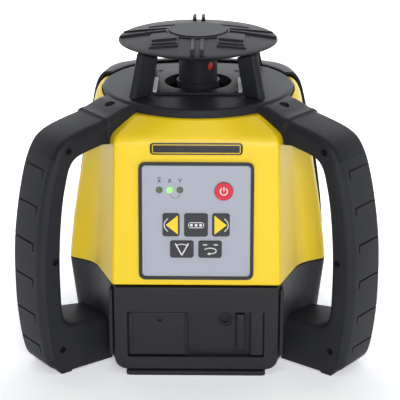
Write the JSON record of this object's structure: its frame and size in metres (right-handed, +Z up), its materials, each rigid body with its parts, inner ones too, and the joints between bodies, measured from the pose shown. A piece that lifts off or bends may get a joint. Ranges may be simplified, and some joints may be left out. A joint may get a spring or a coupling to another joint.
{
  "type": "rotating laser level",
  "caption": "Self-levelling rotating laser in a yellow and black housing with side handles, a keypad, a battery door and a crash cap on posts over the rotor.",
  "frame": {"origin": "Under the middle of the overall box, on the rotor's axis, at the level the instrument stands on", "axes": "+X to the operator's right along the longest extent, -Y out of the keypad side, +Z up along the rotor's axis"},
  "size_m": [0.239, 0.1923, 0.212],
  "materials": {
    "yellow_abs": "moulded, fine texture",
    "black_abs": "moulded, fine texture",
    "black_rubber": "matt",
    "grey_deck": "moulded, fine texture",
    "light_grey_abs": "moulded",
    "keypad_film": "printed polyester film",
    "bezel_black": "semi-gloss",
    "key_black": "semi-gloss silicone",
    "key_red": "semi-gloss silicone",
    "indicator_lens": "clear-tinted",
    "optical_glass": "polished",
    "aluminium": "machined",
    "brass": "machined",
    "steel": "machined",
    "circuit_board": "solder mask",
    "battery_wrap": "moulded pack"
  },
  "bodies": {
    "casing": {"base_housing": "black_abs", "battery_pack": "battery_wrap", "bracket_left": "black_abs", "bracket_right": "black_abs", "bracket_screw_left": "steel", "bracket_screw_right": "steel", "cap_medallion": "black_abs", "chassis": "aluminium", "deck_collar": "grey_deck", "front_foot": "black_rubber", "grip_left": "black_rubber", "grip_right": "black_rubber", "handle_left": "black_abs", "handle_right": "black_abs", "head_cap": "black_abs", "head_post_front_left": "black_abs", "head_post_front_right": "black_abs", "head_post_rear_left": "black_abs", "head_post_rear_right": "black_abs", "keypad_bezel": "bezel_black", "keypad_board": "circuit_board", "keypad_film": "keypad_film", "light_status": "indicator_lens", "light_x": "indicator_lens", "light_y": "indicator_lens", "main_board": "circuit_board", "main_housing": "yellow_abs", "nameplate": "bezel_black", "post_tab_left": "light_grey_abs", "post_tab_right": "light_grey_abs", "rear_foot_left": "black_rubber", "rear_foot_right": "black_rubber", "rear_shell": "black_abs", "seal_plate": "light_grey_abs", "tilt_motor_x": "steel", "tripod_insert_base": "brass", "tripod_insert_rear": "brass"},
    "gimbal": {"gimbal_ring": "aluminium", "tilt_motor_y": "steel"},
    "tube": {"laser_tube": "aluminium", "laser_module": "brass", "collimator_lens": "optical_glass", "rotor_bearing": "steel", "drive_motor": "steel", "drive_belt": "black_rubber"},
    "rotor": {"rotor_head": "black_abs", "rotor_window": "optical_glass", "pentaprism": "optical_glass"},
    "pulley": {"motor_pulley": "aluminium"},
    "spindle_x": {"tilt_spindle_x": "steel"},
    "spindle_y": {"tilt_spindle_y": "steel"},
    "door": {"battery_door": "black_abs", "charge_port": "black_abs"},
    "lock": {"door_lock": "black_abs"},
    "key_left": {"key_left": "key_black"},
    "key_level": {"key_level": "key_black"},
    "key_right": {"key_right": "key_black"},
    "key_scan": {"key_scan": "key_black"},
    "key_speed": {"key_speed": "key_black"},
    "key_power": {"key_power": "key_red"}
  },
  "joints": [
    {"name": "tilt_x", "type": "hinge", "parent": "casing", "child": "gimbal", "pos_m": [0, 0, 0.14], "axis": [1, 0, 0], "range_deg": [-5, 5]},
    {"name": "tilt_y", "type": "hinge", "parent": "gimbal", "child": "tube", "pos_m": [0, 0, 0.14], "axis": [0, 1, 0], "range_deg": [-5, 5]},
    {"name": "rotor_spin", "type": "hinge", "parent": "tube", "child": "rotor", "pos_m": [0, 0, 0.17], "axis": [0, 0, 1], "continuous": true},
    {"name": "motor_spin", "type": "hinge", "parent": "tube", "child": "pulley", "pos_m": [0.0145, 0.0145, 0.157], "axis": [0, 0, 1], "continuous": true},
    {"name": "spindle_x_feed", "type": "slide", "parent": "casing", "child": "spindle_x", "axis": [0, 0, 1], "range_m": [-0.0043, 0.0043]},
    {"name": "spindle_y_feed", "type": "slide", "parent": "gimbal", "child": "spindle_y", "axis": [0, 0, 1], "range_m": [-0.0043, 0.0043]},
    {"name": "door_hinge", "type": "hinge", "parent": "casing", "child": "door", "pos_m": [0, -0.0865, 0.0055], "axis": [1, 0, 0], "range_deg": [0, 90]},
    {"name": "lock_slide", "type": "slide", "parent": "door", "child": "lock", "axis": [1, 0, 0], "range_m": [0, 0.0315]},
    {"name": "key_left_press", "type": "slide", "parent": "casing", "child": "key_left", "axis": [0, 0.9915, -0.1299], "range_m": [0, 0.0006], "stiffness_N_per_m": 300},
    {"name": "key_level_press", "type": "slide", "parent": "casing", "child": "key_level", "axis": [0, 0.9915, -0.1299], "range_m": [0, 0.0006], "stiffness_N_per_m": 300},
    {"name": "key_right_press", "type": "slide", "parent": "casing", "child": "key_right", "axis": [0, 0.9915, -0.1299], "range_m": [0, 0.0006], "stiffness_N_per_m": 300},
    {"name": "key_scan_press", "type": "slide", "parent": "casing", "child": "key_scan", "axis": [0, 0.9915, -0.1299], "range_m": [0, 0.0006], "stiffness_N_per_m": 300},
    {"name": "key_speed_press", "type": "slide", "parent": "casing", "child": "key_speed", "axis": [0, 0.9915, -0.1299], "range_m": [0, 0.0006], "stiffness_N_per_m": 300},
    {"name": "key_power_press", "type": "slide", "parent": "casing", "child": "key_power", "axis": [0, 0.9915, -0.1299], "range_m": [0, 0.0006], "stiffness_N_per_m": 300}
  ],
  "couplings": [
    {"joint": "motor_spin", "follows": "rotor_spin", "ratio": 3.625},
    {"joint": "spindle_x_feed", "follows": "tilt_x", "m_per_rad": 0.048},
    {"joint": "spindle_y_feed", "follows": "tilt_y", "m_per_rad": -0.046}
  ]
}
